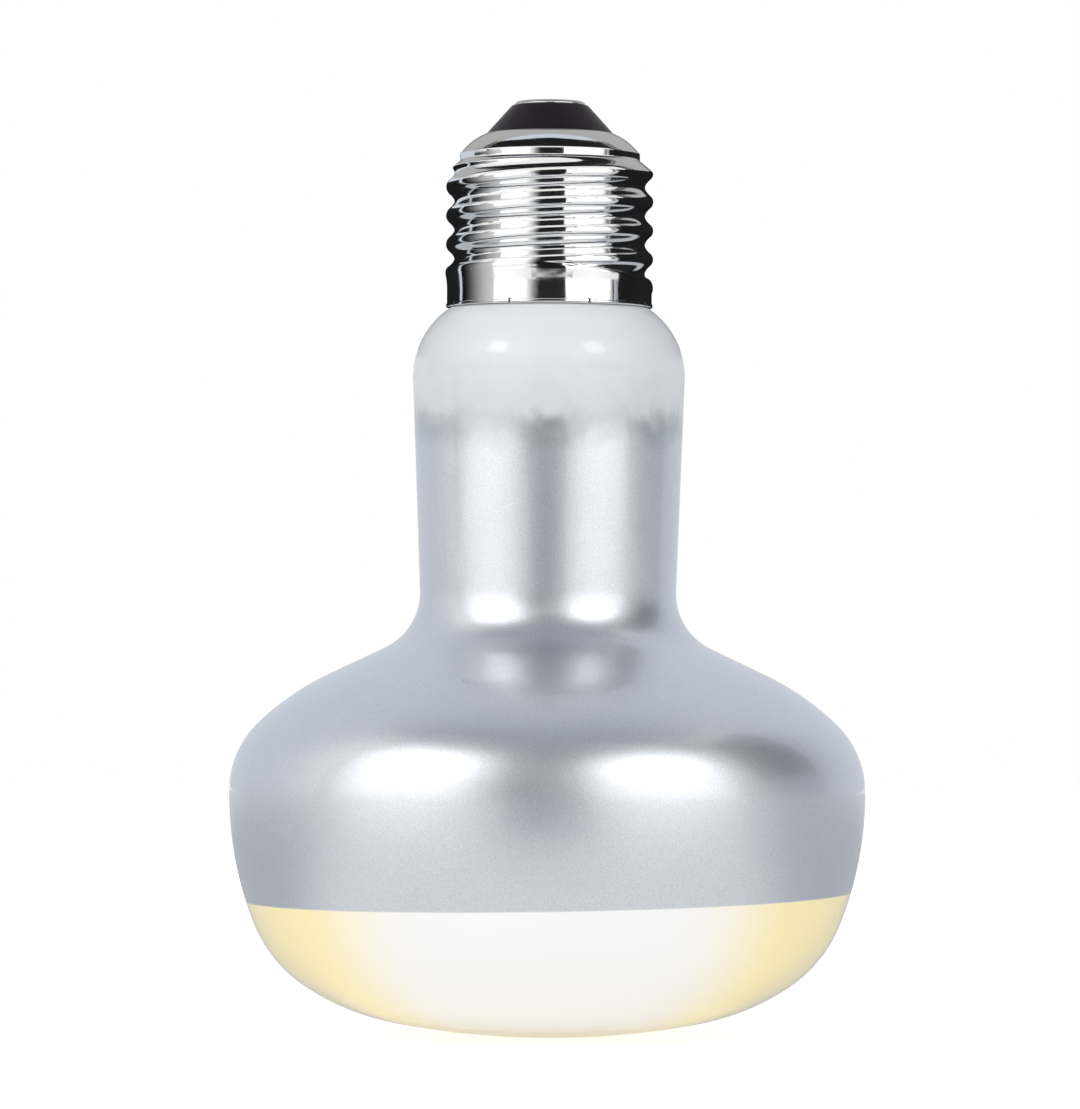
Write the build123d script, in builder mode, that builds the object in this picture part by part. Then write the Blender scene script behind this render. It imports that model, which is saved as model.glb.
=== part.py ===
# Reflector heat lamp bulb: a blown glass bulb with a silvered neck and shoulder, a lit face, and an
# Edison screw cap with 27 mm thread. The lamp stands on its face with the cap up.
# Millimetres. The origin is the middle of the centre contact's face, +Z points out of the cap.

from math import acos, asin, cos, degrees, radians, sin, tan
import os

from build123d import *

# Overall sizes
overall_length = 117.6
bulb_diameter = 80.0
neck_diameter = 34.2
cap_length = 26.0

# Outline of the blown bulb: radii of its arcs, and the slope off the axis where one arc meets the next
side_radius = 45.0
side_slope = 21.4
corner_radius = 17.0
corner_slope = 56.3
blend_radius = 29.6
blend_slope = 78.9
belly_radius = 12.0
belly_slope = 46.4
crown_radius = 34.0
flank_slope = 64.6
throat_radius = 7.7
neck_taper = 2.1
neck_shoulder_radius = 10.4

# Neck end inside the cap, with the sealed exhaust tube
stub_radius = 11.0
stub_length = 5.6
stub_dome = 2.6
tip_radius = 2.3
tip_length = 7.0
tip_point_radius = 0.6
tip_point_length = 2.4
rim_gap = 0.12

# Rolled thread of the cap, 7 turns to the inch
thread_pitch = 25.4 / 7
thread_crest_diameter = 26.1
thread_root_diameter = 23.96
thread_crest_round = 1.03
thread_flank_slope = 50.0
thread_root_overlap = 0.2
thread_foot_height = 2.5
thread_end_depth = 6.6
lead_in_depth = 7.5
lead_in_slope = 50.0

# Plain skirt under the thread, with slits round its rim
sheet = 0.3
skirt_diameter = 25.8
skirt_height = 4.2
skirt_lean = 5.0
skirt_lean_azimuth = 225.0
skirt_edge_round = 0.45
lip_height = 0.5
lip_flare = 0.1
slit_count = 8
slit_width = 0.35
slit_height = 1.2

# Domed end of the shell that holds the insulator
dome_radius = 11.34
dome_slope = 52.0
dome_bulge_radius = 7.5
mouth_radius = 8.0
mouth_depth = 4.05
bore_radius = 11.62

# Black glass insulator, and the contact riveted through it
insulator_top_radius = 4.8
insulator_flange_radius = 9.3
insulator_flange_edge = 0.4
insulator_hole_radius = 1.5
contact_radius = 4.45
contact_thickness = 0.5
contact_edge_run = 1.0
eyelet_length = 2.4
eyelet_wall = 0.3
dish_radius = 2.2
dish_depth = 0.3
solder_depth = 1.2
solder_sag = 0.06

# Basing cement, lead wires and the solder at the rim
cement_height = 4.6
cement_inset = 0.3
lead_radius = 0.15
lead_azimuth = 67.5
lead_end_gap = 0.12
centre_lead_place = 0.8
side_lead_place = 0.2
side_lead_rise = 0.8
side_lead_exit_height = 0.95
lead_channel_width = 0.8
solder_spot_radius = 1.1
solder_spot_height = 0.12

# Clearance between pieces that seat in one another
seat = 0.02


def arc_span(radius, low_slope, high_slope):
    # Width and height of an arc whose tangent turns between two slopes off the axis
    low, high = radians(low_slope), radians(high_slope)
    return radius * (cos(low) - cos(high)), radius * (sin(high) - sin(low))


def ring_point(radius, azimuth, z):
    return (radius * cos(radians(azimuth)), radius * sin(radians(azimuth)), z)


# Heights, all below the contact's face
face_z = -overall_length
rim_z = -cap_length
bulb_radius = bulb_diameter / 2
neck_radius = neck_diameter / 2

# Lower half of the bulb, from the middle of the face out to the widest ring
side_width, side_rise = arc_span(side_radius, 0, side_slope)
corner_width, corner_rise = arc_span(corner_radius, side_slope, corner_slope)
blend_width, blend_rise = arc_span(blend_radius, corner_slope, blend_slope)
face_width = bulb_radius - side_width - corner_width - blend_width
face_turn = 90 - blend_slope
face_radius = face_width / sin(radians(face_turn))
face_rise = face_radius * (1 - cos(radians(face_turn)))

# Upper half, from the widest ring to the neck; the straight flank and the neck share what height is left
belly_width, belly_rise = arc_span(belly_radius, 0, belly_slope)
crown_width, crown_rise = arc_span(crown_radius, belly_slope, flank_slope)
throat_width, throat_rise = arc_span(throat_radius, -neck_taper, flank_slope)
shoulder_axis_radius = neck_radius - neck_shoulder_radius * cos(radians(neck_taper))
skirt_radius = skirt_diameter / 2
seat_radius = skirt_radius - sheet
seat_slope = degrees(acos((seat_radius - shoulder_axis_radius) / neck_shoulder_radius))
stub_slope = degrees(acos((stub_radius - shoulder_axis_radius) / neck_shoulder_radius))
_, shoulder_rise = arc_span(neck_shoulder_radius, -neck_taper, seat_slope)
neck_top_z = rim_z - rim_gap - shoulder_rise
belly_top_z = face_z + face_rise + blend_rise + corner_rise + side_rise + belly_rise + crown_rise
spare_width = bulb_radius - belly_width - crown_width - throat_width - neck_radius
spare_height = neck_top_z - belly_top_z - throat_rise
flank_run = (spare_width + spare_height * tan(radians(neck_taper))) / (
    sin(radians(flank_slope)) + cos(radians(flank_slope)) * tan(radians(neck_taper))
)
neck_run = (spare_height - flank_run * cos(radians(flank_slope))) / cos(radians(neck_taper))

# Sealed glass bulb, blown in one piece and closed round the exhaust tube
with BuildPart() as glass_bulb:
    with BuildSketch(Plane.XZ) as bulb_section:
        with BuildLine() as bulb_outline:
            face = JernArc((0, face_z), (1, 0), face_radius, face_turn)
            blend = JernArc(face @ 1, face % 1, blend_radius, blend_slope - corner_slope)
            corner = JernArc(blend @ 1, blend % 1, corner_radius, corner_slope - side_slope)
            side = JernArc(corner @ 1, corner % 1, side_radius, side_slope)
            belly = JernArc(side @ 1, side % 1, belly_radius, belly_slope)
            crown = JernArc(belly @ 1, belly % 1, crown_radius, flank_slope - belly_slope)
            flank = PolarLine(crown @ 1, flank_run, direction=crown % 1)
            throat = JernArc(flank @ 1, flank % 1, throat_radius, -flank_slope - neck_taper)
            neck = PolarLine(throat @ 1, neck_run, direction=throat % 1)
            neck_shoulder = JernArc(neck @ 1, neck % 1, neck_shoulder_radius, neck_taper + stub_slope)
            stub_end_z = rim_z + stub_length
            stub = Line(neck_shoulder @ 1, (stub_radius, stub_end_z - stub_dome))
            stub_end = RadiusArc(stub @ 1, (tip_radius, stub_end_z), -stub_radius)
            Polyline(
                stub_end @ 1,
                (tip_radius, stub_end_z + tip_length - tip_point_length),
                (tip_point_radius, stub_end_z + tip_length),
                (0, stub_end_z + tip_length),
                face @ 0,
            )
        make_face()
    revolve(axis=Axis.Z)
glass_bulb.part.label = "glass_bulb"

# Thread of the cap: a ridge with a round crest, carried up a helix on the root cylinder
thread_start_depth = cap_length - thread_foot_height
crest_radius = thread_crest_diameter / 2
root_radius = thread_root_diameter / 2
ridge_foot_radius = root_radius - thread_root_overlap
crest_centre_radius = crest_radius - thread_crest_round
flank_start = (
    crest_centre_radius + thread_crest_round * cos(radians(thread_flank_slope)),
    thread_crest_round * sin(radians(thread_flank_slope)),
)
ridge_half_width = flank_start[1] + (flank_start[0] - ridge_foot_radius) / tan(radians(thread_flank_slope))
lead_in_reach = (crest_radius + sheet - dome_radius) / tan(radians(lead_in_slope))

with BuildPart() as screw_thread:
    with BuildLine() as thread_path:
        Helix(
            pitch=thread_pitch,
            height=thread_start_depth - thread_end_depth,
            radius=root_radius,
            center=(0, 0, -thread_start_depth),
        )
    with BuildSketch(Plane.XZ):
        with BuildLine():
            crest = CenterArc(
                (crest_centre_radius, -thread_start_depth),
                thread_crest_round,
                -thread_flank_slope,
                2 * thread_flank_slope,
            )
            Polyline(
                crest @ 1,
                (ridge_foot_radius, ridge_half_width - thread_start_depth),
                (ridge_foot_radius, -ridge_half_width - thread_start_depth),
                crest @ 0,
            )
        make_face()
    sweep(path=thread_path.line, is_frenet=True)
    with BuildSketch(Plane.XY.offset(rim_z)):
        Circle(root_radius)
    extrude(amount=cap_length - mouth_depth)
    # The rolled thread fades in from the domed end
    with BuildSketch(Plane.XZ):
        Polygon(
            (0, -thread_start_depth),
            (crest_radius + sheet, -thread_start_depth),
            (crest_radius + sheet, -lead_in_depth - lead_in_reach),
            (dome_radius, -lead_in_depth),
            (0, -lead_in_depth),
            align=None,
        )
    revolve(axis=Axis.Z, mode=Mode.INTERSECT)

# Skirt blank, with its top leaning as the thread's last turn does, so that the groove runs out into it
skirt_top = Plane(
    origin=(0, 0, rim_z + skirt_height),
    z_dir=(
        -sin(radians(skirt_lean)) * cos(radians(skirt_lean_azimuth)),
        -sin(radians(skirt_lean)) * sin(radians(skirt_lean_azimuth)),
        cos(radians(skirt_lean)),
    ),
)

with BuildPart() as skirt:
    with BuildSketch(Plane.XY.offset(rim_z)):
        Circle(skirt_radius)
    extrude(amount=2 * skirt_height)
    split(bisect_by=skirt_top, keep=Keep.BOTTOM)
    fillet(skirt.faces().sort_by(Axis.Z)[-1].edges(), skirt_edge_round)
    with BuildSketch(Plane.XZ):
        Polygon(
            (0, rim_z),
            (skirt_radius + lip_flare, rim_z),
            (skirt_radius, rim_z + lip_height),
            (0, rim_z + lip_height),
            align=None,
        )
    revolve(axis=Axis.Z)

# Screw shell of the cap
dome_rise = (dome_radius - mouth_radius) / tan(radians(dome_slope))
dome_down = (sin(radians(dome_slope)), -cos(radians(dome_slope)))
dome_inward = (-cos(radians(dome_slope)), -sin(radians(dome_slope)))
inner_mouth = (mouth_radius + sheet * dome_inward[0], -mouth_depth + sheet * dome_inward[1])
inner_dome_radius = dome_radius - sheet
inner_dome_z = inner_mouth[1] - (inner_dome_radius - inner_mouth[0]) / tan(radians(dome_slope))
bore_top_z = -lead_in_depth - 2 * sheet
bore_end_z = rim_z + skirt_height - 2 * sheet - skirt_radius * tan(radians(skirt_lean))

with BuildPart() as screw_shell:
    add(screw_thread.part)
    add(skirt.part)
    with BuildSketch(Plane.XZ):
        with BuildLine():
            dome = RadiusArc(
                (mouth_radius, -mouth_depth), (dome_radius, -mouth_depth - dome_rise), dome_bulge_radius
            )
            Polyline(dome @ 1, (dome_radius, bore_top_z), (0, bore_top_z), (0, -mouth_depth), dome @ 0)
        make_face()
    revolve(axis=Axis.Z)
    with BuildSketch(Plane.XZ):
        Polygon(
            (0, rim_z),
            (seat_radius, rim_z),
            (seat_radius, bore_end_z - (seat_radius - bore_radius)),
            (bore_radius, bore_end_z),
            (bore_radius, bore_top_z - (bore_radius - inner_dome_radius)),
            (inner_dome_radius, bore_top_z),
            (inner_dome_radius, inner_dome_z),
            inner_mouth,
            (mouth_radius, -mouth_depth),
            (0, -mouth_depth),
            align=None,
        )
    revolve(axis=Axis.Z, mode=Mode.SUBTRACT)
    with Locations(Plane.XY.offset(rim_z)):
        with PolarLocations(skirt_radius, slit_count, start_angle=180 / slit_count):
            Box(4 * sheet, slit_width, 2 * slit_height, mode=Mode.SUBTRACT)
screw_shell.part.label = "screw_shell"

# Black glass insulator, moulded through the mouth of the shell and wider under its lip
cone_foot = (mouth_radius - seat * dome_down[0], -mouth_depth - seat * dome_down[1])
lip_foot = (
    cone_foot[0] + (sheet + seat) * dome_inward[0],
    cone_foot[1] + (sheet + seat) * dome_inward[1],
)
flange_run = (insulator_flange_radius - lip_foot[0]) / dome_down[0]
flange_z = lip_foot[1] + flange_run * dome_down[1]
insulator_top_z = -contact_thickness
insulator_end_z = flange_z - insulator_flange_edge

with BuildPart() as cap_insulator:
    with BuildSketch(Plane.XZ):
        Polygon(
            (0, insulator_top_z),
            (insulator_top_radius, insulator_top_z),
            cone_foot,
            lip_foot,
            (insulator_flange_radius, flange_z),
            (insulator_flange_radius, insulator_end_z),
            (0, insulator_end_z),
            align=None,
        )
    revolve(axis=Axis.Z)
    with BuildSketch(Plane.XY.offset(insulator_top_z)):
        Circle(insulator_hole_radius)
    extrude(amount=insulator_end_z - insulator_top_z, mode=Mode.SUBTRACT)
cap_insulator.part.label = "cap_insulator"

# Contact: a disc with a rounded edge and an eyelet that holds it in the insulator
eyelet_radius = insulator_hole_radius - seat
eyelet_bore = eyelet_radius - eyelet_wall

with BuildPart() as centre_contact:
    with BuildSketch(Plane.XZ):
        with BuildLine():
            edge = TangentArc(
                (contact_radius - contact_edge_run, 0), (contact_radius, -contact_thickness), tangent=(1, 0)
            )
            Polyline(
                edge @ 1,
                (eyelet_radius, -contact_thickness),
                (eyelet_radius, -contact_thickness - eyelet_length),
                (eyelet_bore, -contact_thickness - eyelet_length),
                (eyelet_bore, -dish_depth),
                (dish_radius, 0),
                edge @ 0,
            )
        make_face()
    revolve(axis=Axis.Z)
centre_contact.part.label = "centre_contact"

# Solder in the dish and the eyelet, over the end of the centre lead
dish_flare = (dish_radius - eyelet_bore) / dish_depth

with BuildPart() as contact_solder:
    with BuildSketch(Plane.XZ):
        Polygon(
            (0, -solder_sag),
            (dish_radius - dish_flare * (solder_sag + seat), -solder_sag),
            (eyelet_bore - seat, seat - dish_depth),
            (eyelet_bore - seat, -solder_depth),
            (0, -solder_depth),
            align=None,
        )
    revolve(axis=Axis.Z)
contact_solder.part.label = "contact_solder"

# Basing cement: a ring between the glass and the shell, with a channel for the side lead
shoulder_centre = (shoulder_axis_radius, neck_top_z + neck_shoulder_radius * sin(radians(neck_taper)))
cement_arc_radius = neck_shoulder_radius + seat
cement_low_z = rim_z + cement_inset
cement_top_z = rim_z + cement_height
low_turn = degrees(asin((cement_low_z - shoulder_centre[1]) / cement_arc_radius))
high_turn = degrees(acos((stub_radius + seat - shoulder_centre[0]) / cement_arc_radius))

with BuildPart() as basing_cement:
    with BuildSketch(Plane.XZ):
        with BuildLine():
            glass_side = CenterArc(shoulder_centre, cement_arc_radius, low_turn, high_turn - low_turn)
            Polyline(
                glass_side @ 1,
                (stub_radius + seat, cement_top_z),
                (bore_radius - seat, cement_top_z),
                (bore_radius - seat, bore_end_z),
                (seat_radius - seat, bore_end_z - (seat_radius - bore_radius)),
                (seat_radius - seat, cement_low_z),
                glass_side @ 0,
            )
        make_face()
    revolve(axis=Axis.Z)
    with Locations(Location(ring_point(stub_radius, lead_azimuth, cement_low_z), (0, 0, lead_azimuth))):
        Box(
            2 * (seat_radius - stub_radius),
            lead_channel_width,
            2 * cement_height,
            mode=Mode.SUBTRACT,
        )
basing_cement.part.label = "basing_cement"

# Lead wires, from the glass seal to the contact and out through a slit to the rim
lead_plane = Plane(
    origin=(0, 0, 0),
    x_dir=ring_point(1, lead_azimuth, 0),
    z_dir=ring_point(1, lead_azimuth - 90, 0),
)
side_lead_exit_z = rim_z + side_lead_exit_height
side_lead_radius = (bore_radius + stub_radius) / 2
centre_foot = stub_end @ centre_lead_place
side_foot = stub_end @ side_lead_place


def lead_wire(label, points):
    with BuildPart() as lead:
        with BuildLine(lead_plane) as lead_path:
            Polyline(*points)
        with BuildSketch(Plane(origin=lead_path.line @ 0, z_dir=lead_path.line % 0)):
            Circle(lead_radius)
        sweep(path=lead_path.line, transition=Transition.RIGHT)
    lead.part.label = label
    return lead.part


centre_lead = lead_wire(
    "centre_lead",
    [(-centre_foot.X, centre_foot.Y + lead_end_gap), (0, -solder_depth - lead_end_gap)],
)
side_lead = lead_wire(
    "side_lead",
    [
        (side_foot.X, side_foot.Y + lead_end_gap),
        (side_foot.X, stub_end_z + side_lead_rise),
        (side_lead_radius, stub_end_z + side_lead_rise),
        (side_lead_radius, side_lead_exit_z),
        (skirt_radius, side_lead_exit_z),
    ],
)

# Solder spot over the end of the side lead, on the outside of the skirt
with BuildPart() as side_solder:
    with BuildSketch(lead_plane):
        with BuildLine():
            spot_top = (skirt_radius + solder_spot_height, side_lead_exit_z)
            spot_edge = (skirt_radius - seat, side_lead_exit_z + solder_spot_radius)
            dome = TangentArc(spot_top, spot_edge, tangent=(0, 1))
            Polyline(spot_edge, (skirt_radius - sheet, spot_edge[1]), (skirt_radius - sheet, side_lead_exit_z), spot_top)
        make_face()
    revolve(axis=Axis((0, 0, side_lead_exit_z), ring_point(1, lead_azimuth, 0)))
    with BuildSketch(Plane.XZ):
        Polygon(
            (0, rim_z - solder_spot_radius),
            (skirt_radius + lip_flare + seat, rim_z - solder_spot_radius),
            (skirt_radius + lip_flare + seat, rim_z),
            (skirt_radius + seat, rim_z + lip_height),
            (skirt_radius + seat, rim_z + skirt_height),
            (0, rim_z + skirt_height),
            align=None,
        )
    revolve(axis=Axis.Z, mode=Mode.SUBTRACT)
side_solder.part.label = "side_solder"

os.makedirs("parts", exist_ok=True)
pieces = [
    glass_bulb.part,
    screw_shell.part,
    cap_insulator.part,
    centre_contact.part,
    contact_solder.part,
    basing_cement.part,
    centre_lead,
    side_lead,
    side_solder.part,
]
for piece in pieces:
    export_step(piece, f"parts/{piece.label}.step")
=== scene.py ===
from math import asin, atan2, cos, degrees, pi, radians, sin, sqrt, tan

import bpy
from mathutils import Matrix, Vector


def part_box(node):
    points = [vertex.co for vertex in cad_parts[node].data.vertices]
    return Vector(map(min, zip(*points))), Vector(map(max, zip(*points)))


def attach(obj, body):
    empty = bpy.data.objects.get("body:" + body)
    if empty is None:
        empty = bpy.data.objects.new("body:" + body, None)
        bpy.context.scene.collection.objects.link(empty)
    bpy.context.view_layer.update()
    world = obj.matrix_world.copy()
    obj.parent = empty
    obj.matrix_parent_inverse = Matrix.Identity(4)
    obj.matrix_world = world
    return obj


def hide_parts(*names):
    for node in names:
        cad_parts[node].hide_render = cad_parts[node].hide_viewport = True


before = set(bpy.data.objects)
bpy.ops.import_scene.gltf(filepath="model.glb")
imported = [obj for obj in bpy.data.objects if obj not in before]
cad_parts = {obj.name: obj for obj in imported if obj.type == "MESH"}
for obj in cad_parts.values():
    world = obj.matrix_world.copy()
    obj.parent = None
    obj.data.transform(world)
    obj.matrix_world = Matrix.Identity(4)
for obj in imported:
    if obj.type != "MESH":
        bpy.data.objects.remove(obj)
scene = bpy.context.scene
metre = 0.001


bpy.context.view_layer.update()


def buildMesh(name, points, faces, material, sharpAngle):
    mesh = bpy.data.meshes.new(name)
    mesh.from_pydata([(x * metre, y * metre, z * metre) for x, y, z in points], [], faces)
    mesh.validate()
    mesh.shade_smooth()
    mesh.set_sharp_from_angle(angle=radians(sharpAngle))
    mesh.materials.append(material)
    piece = bpy.data.objects.new(name, mesh)
    scene.collection.objects.link(piece)
    return piece


def turnOutline(name, outline, steps, material, sharpAngle=35):
    # Turns an outline of (radius, height) points round the Z axis. Points on the axis become poles.
    points, rings = [], []
    for radius, height in outline:
        if radius < 1e-6:
            rings.append([len(points)] * steps)
            points.append((0, 0, height))
            continue
        rings.append(list(range(len(points), len(points) + steps)))
        for step in range(steps):
            angle = 2 * pi * step / steps
            points.append((radius * cos(angle), radius * sin(angle), height))
    faces = []
    for lower, upper in zip(rings, rings[1:]):
        for step in range(steps):
            after = (step + 1) % steps
            corners = [lower[step], lower[after], upper[after], upper[step]]
            face = [corner for place, corner in enumerate(corners) if corner not in corners[:place]]
            if len(face) > 2:
                faces.append(face)
    return buildMesh(name, points, faces, material, sharpAngle)


def followPath(start, heading, moves):
    # Points of a path of ("line", length, steps) and ("arc", radius, turn, steps) moves. Heading and
    # turns are degrees, and a positive turn bends to the left.
    radius, height = start
    points = [start]
    for move in moves:
        if move[0] == "line":
            length, steps = move[1:]
            startRadius, startHeight = radius, height
            for step in range(1, steps + 1):
                reach = length * step / steps
                radius = startRadius + reach * cos(radians(heading))
                height = startHeight + reach * sin(radians(heading))
                points.append((radius, height))
            continue
        bend, turn, steps = move[1:]
        side = 1 if turn > 0 else -1
        centreRadius = radius - side * bend * sin(radians(heading))
        centreHeight = height + side * bend * cos(radians(heading))
        for step in range(1, steps + 1):
            facing = radians(heading + turn * step / steps)
            radius = centreRadius + side * bend * sin(facing)
            height = centreHeight - side * bend * cos(facing)
            points.append((radius, height))
        heading += turn
    return points


def smoothMax(first, second, blend):
    overlap = max(blend - abs(first - second), 0) / blend
    return max(first, second) + overlap * overlap * blend / 4


def feed(tree, socket, source):
    if isinstance(source, bpy.types.NodeSocket):
        tree.links.new(source, socket)
    else:
        socket.default_value = source


def mathOf(tree, operation, *sources):
    item = tree.nodes.new("ShaderNodeMath")
    item.operation = operation
    for socket, source in zip(item.inputs, sources):
        feed(tree, socket, source)
    return item.outputs[0]


def rampOf(tree, value, low, high, start=0.0, end=1.0):
    item = tree.nodes.new("ShaderNodeMapRange")
    item.interpolation_type = "SMOOTHSTEP"
    names = ("Value", "From Min", "From Max", "To Min", "To Max")
    for name, source in zip(names, (value, low, high, start, end)):
        feed(tree, item.inputs[name], source)
    return item.outputs["Result"]


def mixOf(tree, factor, first, second):
    # Sockets 6 and 7 of a Mix node take its colours, and output 2 gives the mixed one
    item = tree.nodes.new("ShaderNodeMix")
    item.data_type = "RGBA"
    for socket, source in zip((0, 6, 7), (factor, first, second)):
        feed(tree, item.inputs[socket], source)
    return item.outputs[2]


def blendOf(tree, factor, first, second):
    # Sockets 2 and 3 of a Mix node take its values, and output 0 gives the mixed one
    item = tree.nodes.new("ShaderNodeMix")
    for socket, source in zip((0, 2, 3), (factor, first, second)):
        feed(tree, item.inputs[socket], source)
    return item.outputs[0]


def bumpOf(tree, height, depth, strength=1.0):
    item = tree.nodes.new("ShaderNodeBump")
    item.inputs["Strength"].default_value = strength
    item.inputs["Distance"].default_value = depth
    tree.links.new(height, item.inputs["Height"])
    return item.outputs["Normal"]


def newMaterial(name, **inputs):
    material = bpy.data.materials.new(name)
    material.use_nodes = True
    tree = material.node_tree
    shader = tree.nodes["Principled BSDF"]
    for key, value in inputs.items():
        shader.inputs[key.replace("_", " ")].default_value = value
    return material, tree, shader


def newGroup(name, inputs, outputs):
    # Inputs are numbers or vectors by name, and outputs are names of values
    group = bpy.data.node_groups.new(name, "ShaderNodeTree")
    for label, value in inputs.items():
        kind = "NodeSocketVector" if isinstance(value, tuple) else "NodeSocketFloat"
        group.interface.new_socket(label, in_out="INPUT", socket_type=kind).default_value = value
    for label in outputs:
        group.interface.new_socket(label, in_out="OUTPUT", socket_type="NodeSocketFloat")
    given = group.nodes.new("NodeGroupInput").outputs
    result = group.nodes.new("NodeGroupOutput").inputs
    return group, given, result


def placeGroup(tree, group, values):
    item = tree.nodes.new("ShaderNodeGroup")
    item.node_tree = group
    for label, value in values.items():
        feed(tree, item.inputs[label], value)
    return item.outputs


# Grain over a piece: the plain noise, and a level from Least to Most as it goes from Low to High
grainInputs = {"Scale": 100.0, "Detail": 2.0, "Softness": 0.5, "Stretch": (1.0, 1.0, 1.0)}
grainInputs.update({"Low": 0.3, "High": 0.7, "Least": 0.0, "Most": 1.0})
grain, given, result = newGroup("grain", grainInputs, ("Noise", "Level"))
place = grain.nodes.new("ShaderNodeTexCoord")
mapping = grain.nodes.new("ShaderNodeMapping")
noise = grain.nodes.new("ShaderNodeTexNoise")
level = rampOf(grain, noise.outputs["Fac"], given["Low"], given["High"], given["Least"], given["Most"])
for source, socket in (
    (place.outputs["Object"], mapping.inputs["Vector"]),
    (given["Stretch"], mapping.inputs["Scale"]),
    (mapping.outputs["Vector"], noise.inputs["Vector"]),
    (given["Scale"], noise.inputs["Scale"]),
    (given["Detail"], noise.inputs["Detail"]),
    (given["Softness"], noise.inputs["Roughness"]),
    (noise.outputs["Fac"], result["Noise"]),
    (level, result["Level"]),
):
    grain.links.new(source, socket)


def roughen(tree, shader, **values):
    tree.links.new(placeGroup(tree, grain, values)["Level"], shader.inputs["Roughness"])


def ripple(tree, shader, depth, strength=1.0, **values):
    height = placeGroup(tree, grain, values)["Noise"]
    tree.links.new(bumpOf(tree, height, depth, strength), shader.inputs["Normal"])


black, white = (0.0, 0.0, 0.0, 1), (1.0, 1.0, 1.0, 1)

# Pairs are an arc's radius and its turn in degrees, from the middle of the face out and up
bulb = {
    "steps": 256,
    "faceRadius": 102.7,
    "blend": (29.6, 22.6),
    "corner": (17.0, 34.9),
    "side": (45.0, 21.4),
    "belly": (12.0, 46.4),
    "crown": (34.0, 18.2),
    "flankSlope": 64.6,
    "throat": (7.7, 66.7),
    "neckTaper": 2.1,
    "neckRadius": 17.1,
    "shoulder": 10.4,
    "seatRadius": 12.6,
    "capGap": 0.12,
    "stubRadius": 10.6,
}
cap = {"length": 26.0, "sheet": 0.3}  # the bulb, the shell and the insulator all meet these
bulbLow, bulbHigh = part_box("glass_bulb")
bulbRadius = bulbHigh.x / metre
faceHeight = bulbLow.z / metre

# The last number of a move is how many pieces it is cut into
faceTurn = 90 - bulb["blend"][1] - bulb["corner"][1] - bulb["side"][1]
lowerMoves = [
    ("arc", bulb["faceRadius"], faceTurn, 30),
    ("arc", *bulb["blend"], 20),
    ("arc", *bulb["corner"], 22),
    ("arc", *bulb["side"], 22),
    ("arc", *bulb["belly"], 24),
    ("arc", *bulb["crown"], 16),
]
lower = followPath((0, faceHeight), 0, lowerMoves)
# The widest ring must be the frame's, whatever rounding the face radius carries
widest = max(radius for radius, height in lower)
lower = [(radius * bulbRadius / widest, height) for radius, height in lower]
slope, taper = radians(bulb["flankSlope"]), radians(bulb["neckTaper"])
shoulderCentre = bulb["neckRadius"] - bulb["shoulder"] * cos(taper)
seatTurn = sqrt(1 - ((bulb["seatRadius"] - shoulderCentre) / bulb["shoulder"]) ** 2)
neckTop = -cap["length"] - bulb["capGap"] - bulb["shoulder"] * (seatTurn + sin(taper))
throatBend, throatTurn = bulb["throat"]
throatWidth = throatBend * (cos(taper) - cos(slope))
throatRise = throatBend * (sin(slope) + sin(taper))
spareWidth = lower[-1][0] - throatWidth - bulb["neckRadius"]
spareHeight = neckTop - lower[-1][1] - throatRise
flankRun = (spareWidth + spareHeight * tan(taper)) / (sin(slope) + cos(slope) * tan(taper))
neckRun = (spareHeight - flankRun * cos(slope)) / cos(taper)
stubTurn = 90 - degrees(asin((bulb["stubRadius"] - shoulderCentre) / bulb["shoulder"]))
upperMoves = [
    ("line", flankRun, 20),
    ("arc", throatBend, -throatTurn, 26),
    ("line", neckRun, 22),
    ("arc", bulb["shoulder"], bulb["neckTaper"] + stubTurn, 24),
]
upper = followPath(lower[-1], 90 + bulb["flankSlope"], upperMoves)
bulbOutline = lower + upper[1:] + [(0, upper[-1][1])]
print("bulb outline", len(bulbOutline), "neck top", round(neckTop, 2))

# Heights in the finish are from the lowest point of the face
finish = {
    "faceLine": 17.6,
    "faceTilt": 1.14,
    "lineSoft": 0.12,
    "faceColour": (0.60, 0.60, 0.59, 1),
    "faceLimb": (0.60, 0.50, 0.28, 1),
    "glowColour": (0.395, 0.395, 0.405, 1),
    "glowLimb": (0.46, 0.395, 0.205, 1),
    "limbTurn": (0.06, 0.42),
    "rimTurn": (0.74, 1.0),
    "rimShare": 0.6,
    "glassRoughness": 0.6,
    "silverTop": 77.4,
    "silverFade": 3.6,
    "ragged": {"Scale": 260, "Detail": 3, "Softness": 0.6},
    "raggedDepth": 6.0,
    "silverDark": (0.62, 0.64, 0.68, 1),
    "silverLight": (0.82, 0.83, 0.85, 1),
    "silverEdgeDark": (0.52, 0.55, 0.57, 1),
    "edgeDarkBand": 4.5,
    "silverRoughness": 0.34,
    "speckle": {"Scale": 7600, "Detail": 2, "Softness": 0.8},
    "speckleDepth": 0.00002,
    "milkColour": (0.73, 0.74, 0.75, 1),
    "milkFoot": (0.63, 0.64, 0.65, 1),
    "milkFade": 9.0,
    "milkGlow": (0.06, 0.06, 0.06, 1),
    "milkCoat": 0.5,
}
bulbGlass, tree, shader = newMaterial(
    "bulbGlass", Coat_Weight=1.0, Coat_Roughness=0.03, Coat_IOR=1.5, Emission_Strength=1.0
)
place = tree.nodes.new("ShaderNodeTexCoord")
parts = tree.nodes.new("ShaderNodeSeparateXYZ")
tree.links.new(place.outputs["Object"], parts.inputs["Vector"])
sideAt, heightAt = parts.outputs["X"], parts.outputs["Z"]
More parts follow.
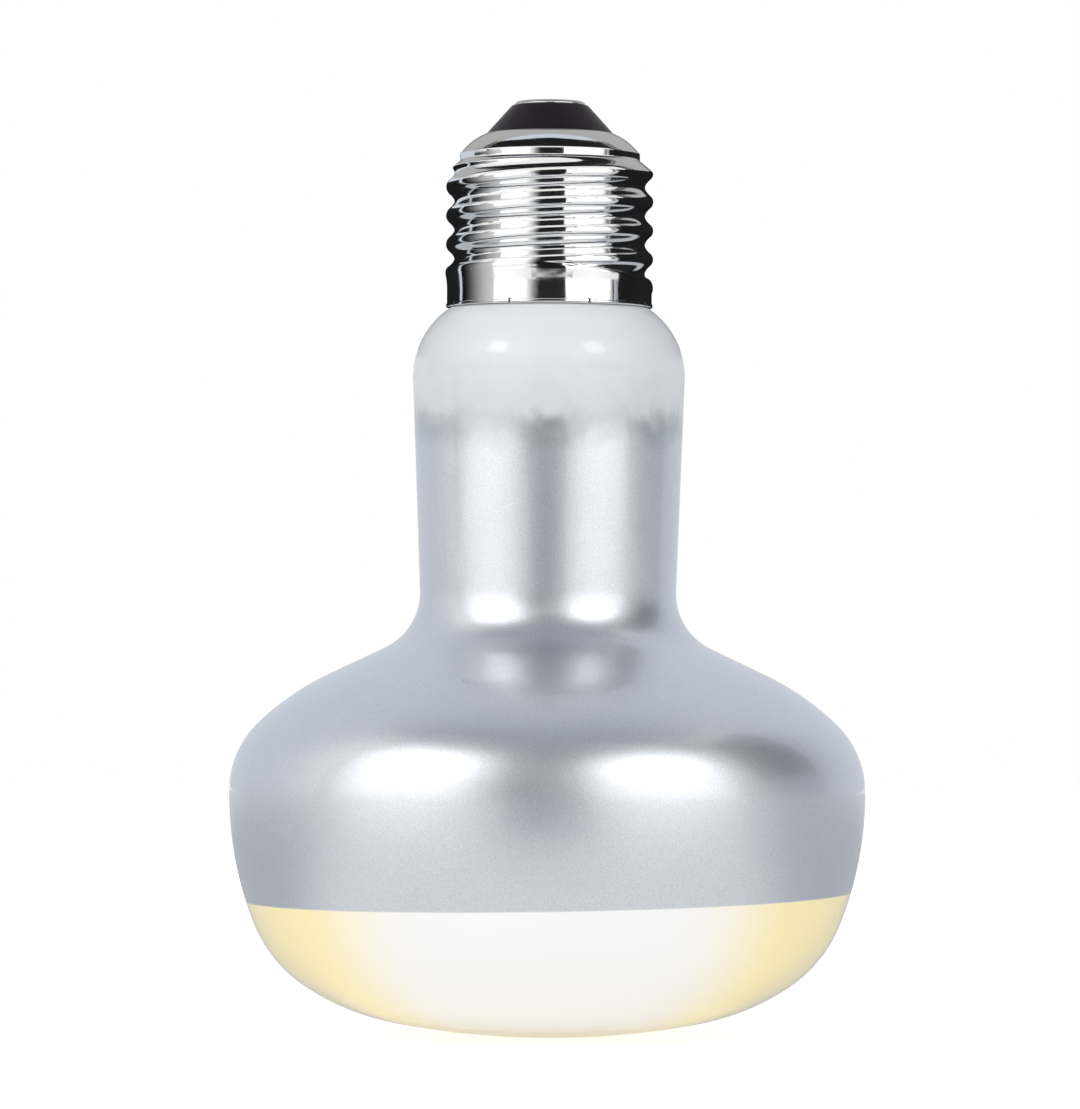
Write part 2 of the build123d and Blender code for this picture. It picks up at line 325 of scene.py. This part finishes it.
# Silver lies between the slightly tilted line over the face and a ragged edge on the neck
tilt = tan(radians(finish["faceTilt"]))
line = mathOf(tree, "MULTIPLY_ADD", sideAt, tilt, (faceHeight + finish["faceLine"]) * metre)
lineSoft = finish["lineSoft"] * metre
pastFace = rampOf(tree, mathOf(tree, "SUBTRACT", heightAt, line), -lineSoft, lineSoft)
wander = placeGroup(tree, grain, finish["ragged"])["Noise"]
raggedLow = (faceHeight + finish["silverTop"] - finish["raggedDepth"] / 2) * metre
ragged = mathOf(tree, "MULTIPLY_ADD", wander, finish["raggedDepth"] * metre, raggedLow)
underEdge = mathOf(tree, "SUBTRACT", ragged, heightAt)
halfFade = finish["silverFade"] * metre / 2
silver = mathOf(tree, "MULTIPLY", pastFace, rampOf(tree, underEdge, -halfFade, halfFade))
# The lit face glows, and both its glow and its colour are painted yellower where it turns away to the sides
# and a little at its rim all round: a painted tint of the light through its glass that moves with the view
facing = tree.nodes.new("ShaderNodeLayerWeight").outputs["Facing"]
geometry = tree.nodes.new("ShaderNodeNewGeometry")
flat = tree.nodes.new("ShaderNodeVectorMath")
flat.operation = "MULTIPLY"
flat.inputs[1].default_value = (1, 1, 0)
unit = tree.nodes.new("ShaderNodeVectorMath")
unit.operation = "NORMALIZE"
sideways = tree.nodes.new("ShaderNodeLayerWeight")
tree.links.new(geometry.outputs["Normal"], flat.inputs[0])
tree.links.new(flat.outputs["Vector"], unit.inputs[0])
tree.links.new(unit.outputs["Vector"], sideways.inputs["Normal"])
turned = mathOf(tree, "MINIMUM", sideways.outputs["Facing"], facing)
rim = rampOf(tree, facing, *finish["rimTurn"], 0.0, finish["rimShare"])
limb = mathOf(tree, "MAXIMUM", rampOf(tree, turned, *finish["limbTurn"]), rim)
faceColour = mixOf(tree, limb, finish["faceColour"], finish["faceLimb"])
faceGlow = mixOf(tree, limb, finish["glowColour"], finish["glowLimb"])
# Milky glass over the ragged edge, then the speckled silver, which is darker along that edge
overEdge = mathOf(tree, "SUBTRACT", heightAt, ragged)
milkUp = rampOf(tree, overEdge, 0.0, finish["milkFade"] * metre)
milk = mixOf(tree, milkUp, finish["milkFoot"], finish["milkColour"])
milkMask = mathOf(tree, "SUBTRACT", pastFace, silver)
speckle = placeGroup(tree, grain, finish["speckle"])
silverTone = mixOf(tree, speckle["Level"], finish["silverDark"], finish["silverLight"])
pastEdgeBand = rampOf(tree, underEdge, 0.0, finish["edgeDarkBand"] * metre)
silverTone = mixOf(tree, pastEdgeBand, finish["silverEdgeDark"], silverTone)
glassColour = mixOf(tree, pastFace, faceColour, milk)
glow = mixOf(tree, pastFace, faceGlow, finish["milkGlow"])
speckleHeight = mathOf(tree, "MULTIPLY", speckle["Noise"], silver)
for source, name in (
    (mixOf(tree, silver, glassColour, silverTone), "Base Color"),
    (silver, "Metallic"),
    (blendOf(tree, silver, finish["glassRoughness"], finish["silverRoughness"]), "Roughness"),
    (blendOf(tree, milkMask, 1.0, finish["milkCoat"]), "Coat Weight"),
    (mixOf(tree, silver, glow, black), "Emission Color"),
    (bumpOf(tree, speckleHeight, finish["speckleDepth"]), "Normal"),
):
    tree.links.new(source, shader.inputs[name])

bulbPiece = turnOutline("bulbGlass", bulbOutline, bulb["steps"], bulbGlass)
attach(bulbPiece, "root")
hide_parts("glass_bulb")
print("bulb made")

shell = {
    "steps": 240,
    "crestRadius": 13.05,
    "rootRadius": 11.98,
    "pitch": 25.4 / 7,
    "crestRound": 1.03,
    "flankSlope": 50.0,
    "footHeight": 2.5,
    "endDepth": 6.6,
    "leadInDepth": 7.5,
    "leadInSlope": 50.0,
    "skirtRadius": 12.9,
    "skirtHeight": 4.2,
    "skirtLean": 5.0,
    "leanAzimuth": 225.0,
    "skirtRound": 0.45,
    "lipBead": 0.11,
    "lipHeight": 0.48,
    "domeRadius": 11.34,
    "domeSlope": 52.0,
    "domeBulge": 7.5,
    "mouthRadius": 8.0,
    "mouthDepth": 4.05,
    "boreRadius": 11.62,
    "seatRadius": 12.6,
    "slits": 8,
    "slitHeight": 0.6,
    "leadSlitHeight": 1.2,
    "leadAzimuth": 67.5,
    "flareHeight": 2.7,
    "flareSlope": 5.5,
    "rootBlend": 0.7,
    "leadInBlend": 0.3,
    "flareBlend": 0.5,
    "skirtBlend": 0.25,
    "domeBlend": 0.12,
    "threadRunOut": 12,
    "skirtRunOut": 8,
    "rimRow": 0.04,
    "rowStep": 0.075,
    "domeRows": 22,
}
plating = {
    "colour": (0.88, 0.88, 0.87, 1),
    # The next two set the painted shade at the plating's outline: its colour and where it starts by facing
    "edgeShadeColour": (0.04, 0.04, 0.04, 1),
    "edgeShadeTurn": (0.8, 0.9),
    "smear": {"Scale": 220, "Detail": 3, "Softness": 0.55, "Stretch": (1, 1, 2.2)},
    "smearRange": {"Low": 0.35, "High": 0.75, "Least": 0.07, "Most": 0.13},
    "ripple": {"Scale": 420, "depth": 0.00003, "strength": 0.6},
}
capPlating, tree, shader = newMaterial("capPlating", Metallic=1.0)
# Where the plating turns away toward its outline it is painted near black: a painted reflection of dark
# surroundings, which moves with the view
edge = tree.nodes.new("ShaderNodeLayerWeight").outputs["Facing"]
paintedEdgeShade = rampOf(tree, edge, *plating["edgeShadeTurn"])
platingWithShade = mixOf(tree, paintedEdgeShade, plating["colour"], plating["edgeShadeColour"])
tree.links.new(platingWithShade, shader.inputs["Base Color"])
roughen(tree, shader, **plating["smear"], **plating["smearRange"])
ripple(tree, shader, **plating["ripple"])

rimHeight = -cap["length"]
domeSlope = radians(shell["domeSlope"])
domeDown, domeIn = (sin(domeSlope), -cos(domeSlope)), (-cos(domeSlope), -sin(domeSlope))
domeWidth = shell["domeRadius"] - shell["mouthRadius"]
domeRise = domeWidth / tan(domeSlope)
domeFoot = -shell["mouthDepth"] - domeRise
domeChord = sqrt(domeRise**2 + domeWidth**2)
domeTurn = 2 * degrees(asin(domeChord / 2 / shell["domeBulge"]))
threadFoot = rimHeight + shell["footHeight"]
crestCentre = shell["crestRadius"] - shell["crestRound"]
flankStart = shell["crestRound"] * sin(radians(shell["flankSlope"]))
flankRadius = crestCentre + shell["crestRound"] * cos(radians(shell["flankSlope"]))


def threadRadius(azimuth, height):
    turn = azimuth / 360
    strand = round((height - threadFoot) / shell["pitch"] - turn)
    along = strand + turn
    gap = abs(height - threadFoot - along * shell["pitch"])
    if gap < flankStart:
        radius = crestCentre + sqrt(shell["crestRound"] ** 2 - gap * gap)
    else:
        radius = flankRadius - (gap - flankStart) * tan(radians(shell["flankSlope"]))
    if along < 0:
        radius += along * shell["threadRunOut"]
    return smoothMax(radius, shell["rootRadius"], shell["rootBlend"])


def shellRadius(azimuth, height):
    # The thread, cut down where it leads in at the top
    leadIn = (-shell["leadInDepth"] - height) * tan(radians(shell["leadInSlope"]))
    thread = threadRadius(azimuth, height)
    thread = -smoothMax(-thread, -shell["domeRadius"] - leadIn, shell["leadInBlend"])
    # The skirt, whose rounded top leans to one side, with the bead of its lip and its flare
    leanTurn = cos(radians(azimuth - shell["leanAzimuth"]))
    lean = shell["skirtRadius"] * tan(radians(shell["skirtLean"])) * leanTurn
    underTop = rimHeight + shell["skirtHeight"] + lean - height
    skirt, bend = shell["skirtRadius"], shell["skirtRound"]
    if underTop < bend:
        lift = bend - max(underTop, 0)
        skirt -= bend - sqrt(max(bend * bend - lift * lift, 0))
        skirt -= max(-underTop, 0) * shell["skirtRunOut"]
    aboveRim = height - rimHeight
    if aboveRim < shell["lipHeight"]:
        skirt += shell["lipBead"] * sqrt(max(1 - (2 * aboveRim / shell["lipHeight"] - 1) ** 2, 0))
    flareRise = smoothMax(aboveRim - shell["flareHeight"], 0, shell["flareBlend"])
    flare = flareRise * tan(radians(shell["flareSlope"]))
    skirt += min(flare, shell["crestRadius"] - shell["skirtRadius"])
    return smoothMax(smoothMax(thread, skirt, shell["skirtBlend"]), shell["domeRadius"], shell["domeBlend"])


def shellPiece():
    steps = shell["steps"]
    stepAngle = 360 / steps
    azimuths = [stepAngle * (step + 0.5) for step in range(steps)]
    rimRows = int(round(shell["lipHeight"] / shell["rimRow"]))
    rows = int((domeFoot - rimHeight - shell["lipHeight"]) / shell["rowStep"])
    heights = [rimHeight + shell["rimRow"] * row for row in range(rimRows)]
    heights += [rimHeight + shell["lipHeight"] + shell["rowStep"] * row for row in range(rows + 1)]
    slitRows = sum(height < rimHeight + shell["leadSlitHeight"] for height in heights)
    shortRows = sum(height < rimHeight + shell["slitHeight"] for height in heights)
    points, rings = [], []

    def addRing(radiusAt, heightAt):
        rings.append(list(range(len(points), len(points) + steps)))
        for azimuth in azimuths:
            angle = radians(azimuth)
            radius = radiusAt(azimuth)
            points.append((radius * cos(angle), radius * sin(angle), heightAt))

    # Outer side, from the rim up the skirt, the thread and the dome to the mouth
    for height in heights:
        addRing(lambda azimuth: shellRadius(azimuth, height), height)
    heading = 90 + shell["domeSlope"] - domeTurn / 2
    domeMoves = [("arc", shell["domeBulge"], domeTurn, shell["domeRows"])]
    domeLine = followPath((shell["domeRadius"], domeFoot), heading, domeMoves)
    for ringRadius, height in domeLine:
        addRing(lambda azimuth: ringRadius, height)
    # Edge of the sheet, then the inner side back down to the rim
    sheet = cap["sheet"]
    edgeRadius = shell["mouthRadius"] + sheet * domeIn[0]
    edgeHeight = -shell["mouthDepth"] + sheet * domeIn[1]
    innerDome = shell["domeRadius"] - sheet
    innerDomeHeight = edgeHeight - (innerDome - edgeRadius) / tan(domeSlope)
    boreTop = -shell["leadInDepth"] - 2 * sheet
    boreEnd = rimHeight + shell["skirtHeight"] - 2 * sheet
    boreEnd -= shell["skirtRadius"] * tan(radians(shell["skirtLean"]))
    for ringRadius, height in (
        (edgeRadius, edgeHeight),
        (innerDome, innerDomeHeight),
        (innerDome, boreTop),
        (shell["boreRadius"], boreTop - (shell["boreRadius"] - innerDome)),
        (shell["boreRadius"], boreEnd),
        (shell["seatRadius"], boreEnd - (shell["seatRadius"] - shell["boreRadius"])),
    ):
        addRing(lambda azimuth: ringRadius, height)
    for height in reversed(heights[: slitRows + 1]):
        addRing(lambda azimuth: shell["seatRadius"], height)

    # Rows that each slit takes up: the one that lets the side lead out is the deepest
    spacing = steps // shell["slits"]
    slitCells = {}
    for slit in range(shell["slits"]):
        step = spacing * slit + spacing // 2 - 1
        holdsLead = abs(stepAngle * (step + 1) - shell["leadAzimuth"]) < stepAngle
        slitCells[step] = slitRows if holdsLead else shortRows
    faces = []
    lastRing = len(rings) - 1

    def addFace(*corners):
        faces.append([rings[ring][step] for ring, step in corners])

    for ring in range(lastRing):
        for step in range(steps):
            depth = slitCells.get(step, 0)
            if depth <= ring < lastRing - depth:
                after = (step + 1) % steps
                addFace((ring, step), (ring, after), (ring + 1, after), (ring + 1, step))
    for step in range(steps):
        if step not in slitCells:
            after = (step + 1) % steps
            addFace((0, after), (0, step), (lastRing, step), (lastRing, after))
    # Walls of the slits, between the two sides of the sheet
    for step, depth in slitCells.items():
        after = (step + 1) % steps
        for row in range(depth):
            inner = lastRing - row
            addFace((row, step), (row + 1, step), (inner - 1, step), (inner, step))
            addFace((row + 1, after), (row, after), (inner, after), (inner - 1, after))
        addFace((depth, step), (depth, after), (lastRing - depth, after), (lastRing - depth, step))
    return buildMesh("capShell", points, faces, capPlating, 40)


shellObject = shellPiece()
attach(shellObject, "root")
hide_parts("screw_shell")
print("shell made", len(shellObject.data.polygons))

insulator = {
    "steps": 160,
    "topRadius": 4.8,
    "topHeight": -0.5,
    "edgeRound": 0.4,
    "flangeRadius": 9.3,
    "flangeEdge": 0.4,
    "seat": 0.02,
}
blackColour = (0.014, 0.010, 0.014, 1)
blackGlass, tree, shader = newMaterial("blackGlass", Base_Color=blackColour, Roughness=0.3, IOR=1.25)
ripple(tree, shader, depth=0.00008, strength=0.5, Scale=260)
coneFoot = (
    shell["mouthRadius"] - insulator["seat"] * domeDown[0],
    -shell["mouthDepth"] - insulator["seat"] * domeDown[1],
)
underLip = cap["sheet"] + insulator["seat"]
lipFoot = (coneFoot[0] + underLip * domeIn[0], coneFoot[1] + underLip * domeIn[1])
flangeHeight = lipFoot[1] + (insulator["flangeRadius"] - lipFoot[0]) / domeDown[0] * domeDown[1]
coneRun, coneFall = coneFoot[0] - insulator["topRadius"], coneFoot[1] - insulator["topHeight"]
coneHeading = degrees(atan2(coneFall, coneRun))
coneLength = sqrt(coneRun**2 + coneFall**2)
edgeReach = insulator["edgeRound"] * tan(radians(-coneHeading / 2))
insulatorOutline = [
    (0, flangeHeight - insulator["flangeEdge"]),
    (insulator["flangeRadius"], flangeHeight - insulator["flangeEdge"]),
    (insulator["flangeRadius"], flangeHeight),
    lipFoot,
]
coneMoves = [("line", coneLength - edgeReach, 12), ("arc", insulator["edgeRound"], -coneHeading, 8)]
insulatorOutline += followPath(coneFoot, 180 + coneHeading, coneMoves)
insulatorOutline.append((0, insulator["topHeight"]))
insulatorPiece = turnOutline("capInsulator", insulatorOutline, insulator["steps"], blackGlass, 30)
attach(insulatorPiece, "root")
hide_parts("cap_insulator")

contact = {
    "steps": 144,
    "radius": 4.45,
    "thickness": 0.5,
    "edgeRun": 0.55,
    "edgeShare": 0.75,
    "edgeStart": -20,
    "edgeShadeTurn": 110,
    "edgeSteps": 10,
    "edgeUnder": 0.05,
    "dishRadius": 2.2,
    "dishDepth": 0.3,
    "eyeletRadius": 1.48,
    "eyeletWall": 0.3,
    "eyeletDepth": 2.4,
}
contactMetal, tree, shader = newMaterial("contactMetal", Base_Color=(0.82, 0.81, 0.78, 1), Metallic=1.0)
roughen(tree, shader, Scale=700, Detail=3, Least=0.08, Most=0.2)
ripple(tree, shader, depth=0.00002, Scale=1500, Detail=3)
eyeletInside = contact["eyeletRadius"] - contact["eyeletWall"]
eyeletEnd = -contact["thickness"] - contact["eyeletDepth"]
contactOutline = [
    (eyeletInside, eyeletEnd),
    (contact["eyeletRadius"], eyeletEnd),
    (contact["eyeletRadius"], -contact["thickness"]),
    (contact["radius"] - contact["edgeUnder"], -contact["thickness"]),
]
for step in range(contact["edgeSteps"] + 1):
    turn = radians(contact["edgeStart"] + contact["edgeShadeTurn"] * step / contact["edgeSteps"])
    radius = contact["radius"] + contact["edgeRun"] * (cos(turn) - 1)
    contactOutline.append((radius, contact["thickness"] * contact["edgeShare"] * (sin(turn) - 1)))
contactOutline.append((contact["dishRadius"], 0))
contactOutline += [(eyeletInside, -contact["dishDepth"]), (eyeletInside, eyeletEnd)]
contactPiece = turnOutline("centreContact", contactOutline, contact["steps"], contactMetal, 40)
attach(contactPiece, "root")
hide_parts("centre_contact")
print("insulator and contact made")


def dress(node, material):
    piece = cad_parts[node]
    piece.data.materials.clear()
    piece.data.materials.append(material)


# The pieces under the shell and the contact keep the frame's mesh
solder, tree, shader = newMaterial("solder", Base_Color=(0.62, 0.62, 0.63, 1), Metallic=1.0)
roughen(tree, shader, Scale=900, Detail=4, Least=0.22, Most=0.45)
ripple(tree, shader, depth=0.0002, Scale=800, Detail=4, Softness=0.6)
leadWire, tree, shader = newMaterial("leadWire", Base_Color=(0.72, 0.66, 0.58, 1), Metallic=1.0)
roughen(tree, shader, Scale=2500, Least=0.25, Most=0.4)
cement, tree, shader = newMaterial("cement", Roughness=0.9)
speckValues = {"Scale": 1600, "Detail": 4, "Softness": 0.7, "Low": 0.35}
speck = placeGroup(tree, grain, speckValues)["Level"]
cementColour = mixOf(tree, speck, (0.52, 0.47, 0.38, 1), (0.66, 0.61, 0.52, 1))
tree.links.new(cementColour, shader.inputs["Base Color"])
tree.links.new(bumpOf(tree, speck, 0.0002), shader.inputs["Normal"])
dress("contact_solder", solder)
dress("side_solder", solder)
dress("basing_cement", cement)
dress("centre_lead", leadWire)
dress("side_lead", leadWire)
print("inner pieces dressed")

studio = {
    "distance": 1300,
    "capDistance": 32,
    "capCentre": -16,
    "floorSize": 1000,
    "floorLift": 0.5,
    "floorMirrorLift": 0.12,
    "broadStrength": 1.55,
    "windowStrength": 7.5,
    "worldDiffuse": 0.7,
}
middle = faceHeight * 0.5


def spherePatch(name, azimuths, elevations, distance, material, centre=middle, bend=0.0):
    # A curved card that faces the lamp and lies down on the floor where it would pass through it.
    # Azimuth 0 is toward the camera and 90 toward +X, and a bent card hangs lower at its sides.
    across, upward = 28, 20
    overFloor = centre - faceHeight - 1
    points, shares = [], []
    for row in range(upward + 1):
        for column in range(across + 1):
            azimuth = radians(azimuths[0] + (azimuths[1] - azimuths[0]) * column / across)
            elevation = radians(elevations[0] + (elevations[1] - elevations[0]) * row / upward)
            elevation -= radians(bend) * (2 * azimuth / pi) ** 2
            away = distance
            if elevation < 0:
                away = min(distance, overFloor / sin(-elevation))
            points.append(
                (
                    away * sin(azimuth) * cos(elevation),
                    -away * cos(azimuth) * cos(elevation),
                    centre + away * sin(elevation),
                )
            )
            shares.append((column / across, row / upward, 0.0))
    faces = []
    for row in range(upward):
        for column in range(across):
            first = row * (across + 1) + column
            faces.append((first, first + across + 1, first + across + 2, first + 1))
    card = buildMesh(name, points, faces, material, 60)
    attribute = card.data.attributes.new("share", "FLOAT_VECTOR", "POINT")
    for item, share in zip(attribute.data, shares):
        item.vector = share
    card.visible_camera = False
    return card


# Light of a card, which climbs over the share Rise of its width from the left, and falls over Fall
# on the right, Low at its foot and High at its head. A share this thin stands for no fade at all.
thin = 0.0001
fadeInputs = {"Rise": thin, "Fall": thin, "Low": thin, "High": thin, "Power": 1.0}
fade, given, result = newGroup("fade", fadeInputs, ("Light",))
share = fade.nodes.new("ShaderNodeAttribute")
share.attribute_name = "share"
parts = fade.nodes.new("ShaderNodeSeparateXYZ")
fade.links.new(share.outputs["Vector"], parts.inputs["Vector"])
across, upward = parts.outputs["X"], parts.outputs["Y"]
light = mathOf(fade, "POWER", rampOf(fade, across, 0.0, given["Rise"]), given["Power"])
light = mathOf(fade, "MULTIPLY", light, rampOf(fade, upward, 0.0, given["Low"]))
for side, name in ((across, "Fall"), (upward, "High")):
    start = mathOf(fade, "SUBTRACT", 1.0, given[name])
    light = mathOf(fade, "MULTIPLY", light, rampOf(fade, side, 1.0, start))
fade.links.new(light, result["Light"])


def cardMaterial(name, colour, strength=1.0, edges=None, reach=0.0, clear=0.0):
    # A card that gives its own light and may fade at its edges. One with a reach is seen only from
    # its inner side and no farther off, and one with clear edges lets the room show through them.
    material = bpy.data.materials.new(name)
    material.use_nodes = True
    tree = material.node_tree
    tree.nodes.remove(tree.nodes["Principled BSDF"])
    glow = tree.nodes.new("ShaderNodeEmission")
    glow.inputs["Color"].default_value = colour
    glow.inputs["Strength"].default_value = strength
    if edges:
        light = placeGroup(tree, fade, edges)["Light"]
        tree.links.new(mixOf(tree, light, black, colour), glow.inputs["Color"])
    surface = tree.nodes["Material Output"].inputs["Surface"]
    if reach == 0 and clear == 0:
        tree.links.new(glow.outputs["Emission"], surface)
        return material
    if clear > 0:
        light = placeGroup(tree, fade, {"Rise": clear, "Fall": clear, "High": clear})["Light"]
        away = mathOf(tree, "SUBTRACT", 1.0, light)
    else:
        gone = tree.nodes.new("ShaderNodeLightPath").outputs["Ray Length"]
        outside = tree.nodes.new("ShaderNodeNewGeometry").outputs["Backfacing"]
        away = mathOf(tree, "MAXIMUM", outside, mathOf(tree, "GREATER_THAN", gone, reach * metre))
    choice = tree.nodes.new("ShaderNodeMixShader")
    nothing = tree.nodes.new("ShaderNodeBsdfTransparent")
    tree.links.new(away, choice.inputs["Fac"])
    tree.links.new(glow.outputs["Emission"], choice.inputs[1])
    tree.links.new(nothing.outputs["BSDF"], choice.inputs[2])
    tree.links.new(choice.outputs["Shader"], surface)
    return material


def raysOf(tree, *names):
    rays = tree.nodes.new("ShaderNodeLightPath").outputs
    found = rays[names[0]]
    for name in names[1:]:
        found = mathOf(tree, "MAXIMUM", found, rays[name])
    return found


far, near, capCentre = studio["distance"], studio["capDistance"], studio["capCentre"]
broad, bright = studio["broadStrength"], studio["windowStrength"]
leftGlow = cardMaterial("leftGlow", white, broad, {"Rise": 0.2, "Fall": 0.32, "High": 0.3})
rightGlow = cardMaterial("rightGlow", white, broad, {"Rise": 0.2, "Fall": 0.16, "High": 0.5})
windowEdges = {"Rise": 0.3, "Fall": 0.3, "Low": 0.2, "High": 0.3}
windowGlow = cardMaterial("windowGlow", white, bright, windowEdges)
greyCard = cardMaterial("greyCard", (0.19, 0.22, 0.27, 1))
sideCard = cardMaterial("sideCard", (0.11, 0.12, 0.14, 1))
wallCard = cardMaterial("wallCard", (0.38, 0.41, 0.46, 1))
ceilingCard = cardMaterial("ceilingCard", (0.34, 0.38, 0.45, 1))
backCard = cardMaterial("backCard", (0.64, 0.69, 0.76, 1))
floorCard = cardMaterial("floorCard", (0.47, 0.50, 0.54, 1), clear=0.14)
spherePatch("leftBox", (-89, -10), (-2.2, 62), far, leftGlow)
spherePatch("rightBox", (7, 78), (-2.2, 57), far, rightGlow)
spherePatch("leftWindow", (-64, -36), (25, 46), far * 0.97, windowGlow)
spherePatch("rightWindow", (30, 57), (25, 46), far * 0.97, windowGlow)
frontFlag = spherePatch("frontFlag", (-15, 15), (-20, 60), far * 1.02, greyCard)
spherePatch("rightFlag", (80, 118), (14, 50), far * 1.02, sideCard)
spherePatch("rightWall", (79, 118), (-2.2, 14), far * 1.02, wallCard)
spherePatch("ceiling", (-118, 118), (58, 90), far * 1.05, ceilingCard)
spherePatch("backWall", (118, 258), (-2.2, 90), far * 1.06, backCard)
backFloor = spherePatch("backFloor", (58, 298), (-78, -0.8), far, floorCard)
# Cards close to the cap, seen only from inside, which give its plating dark and light bands
capReach, lowReach = 1.6 * near, 1.9 * near
capGlow = cardMaterial("capGlow", white, 0.95, reach=capReach)
veil = cardMaterial("veil", (0.62, 0.62, 0.63, 1), edges={"Rise": 1.0, "Power": 1.3}, reach=capReach)
darkCard = cardMaterial("darkCard", (0.012, 0.012, 0.013, 1), reach=capReach)
lowCard = cardMaterial("lowCard", (0.02, 0.02, 0.022, 1), reach=lowReach)
lowGlow = cardMaterial("lowGlow", white, 0.85, {"Rise": 0.2, "Fall": 0.2}, lowReach)
softCard = cardMaterial("softCard", (0.45, 0.45, 0.45, 1), reach=capReach)
capCards = [
    spherePatch("capFront", (-9.5, 14.5), (-10, 33), near, darkCard, capCentre),
    spherePatch("capFrontLow", (-10.8, 16.2), (-11.8, 5), 2 * near, lowCard, capCentre),
    spherePatch("capFrontGlow", (-18, 23), (-19, -11.8), 2 * near, lowGlow, capCentre),
    spherePatch("capTopLight", (-84, 76), (34, 59), near, capGlow, capCentre, 14),
    spherePatch("capArch", (-100, 100), (60, 80), near, darkCard, capCentre, 18),
    spherePatch("capRight", (67, 155), (-25, 26), near, darkCard, capCentre),
    spherePatch("capLeft", (-155, -99.5), (-25, 18), near, darkCard, capCentre),
    spherePatch("capVeil", (-95, -52), (-25, 20), near, veil, capCentre),
    spherePatch("capLine", (-95, 67), (-33, -26), near, darkCard, capCentre),
    spherePatch("capBack", (92, 268), (27, 90), near, softCard, capCentre),
]
# These are there to be mirrored, so they neither shade the room nor light it
for card in capCards + [backFloor, frontFlag]:
    card.visible_shadow = False
    card.visible_diffuse = False
for material in (capGlow, veil, darkCard, lowCard, lowGlow, softCard, floorCard, greyCard):
    material.cycles.emission_sampling = "NONE"

floorPaint, tree, shader = newMaterial("floorPaint", Base_Color=(0.86, 0.86, 0.86, 1), Roughness=0.9)
shader.inputs["Specular IOR Level"].default_value = 0.1
shader.inputs["Emission Strength"].default_value = 1.0
direct = raysOf(tree, "Is Camera Ray", "Is Transmission Ray")
lift = mathOf(tree, "MULTIPLY", direct, studio["floorLift"])
mirrored = mathOf(tree, "MULTIPLY", raysOf(tree, "Is Glossy Ray"), studio["floorMirrorLift"])
tree.links.new(mathOf(tree, "ADD", lift, mirrored), shader.inputs["Emission Color"])
side = studio["floorSize"]
floorPoints = [(x * side, y * side, faceHeight) for x, y in ((-1, -1), (1, -1), (1, 1), (-1, 1))]
floorPiece = buildMesh("floor", floorPoints, [(0, 1, 2, 3)], floorPaint, 60)

world = bpy.data.worlds.new("studio")
scene.world = world
world.use_nodes = True
tree = world.node_tree
background = tree.nodes["Background"]
background.inputs["Color"].default_value = white
seen = raysOf(tree, "Is Camera Ray", "Is Glossy Ray", "Is Transmission Ray")
tree.links.new(blendOf(tree, seen, studio["worldDiffuse"], 1.0), background.inputs["Strength"])

view = {
    "distance": 704,
    "aside": -1.0,
    "eyeHeight": 52.8,
    "pitch": 0.63,
    "roll": -0.25,
    "lens": 181.5,
    "sensor": 36,
    "clip": (0.05, 60),
}
camera = bpy.data.objects.new("camera", bpy.data.cameras.new("camera"))
scene.collection.objects.link(camera)
camera.data.lens = view["lens"]
camera.data.sensor_width = view["sensor"]
camera.data.clip_start, camera.data.clip_end = view["clip"]
eye = (view["aside"], -view["distance"], faceHeight + view["eyeHeight"])
camera.location = [length * metre for length in eye]
camera.rotation_euler = (radians(90 + view["pitch"]), radians(view["roll"]), 0)
scene.camera = camera
scene.view_settings.view_transform = "Standard"
print("studio made")
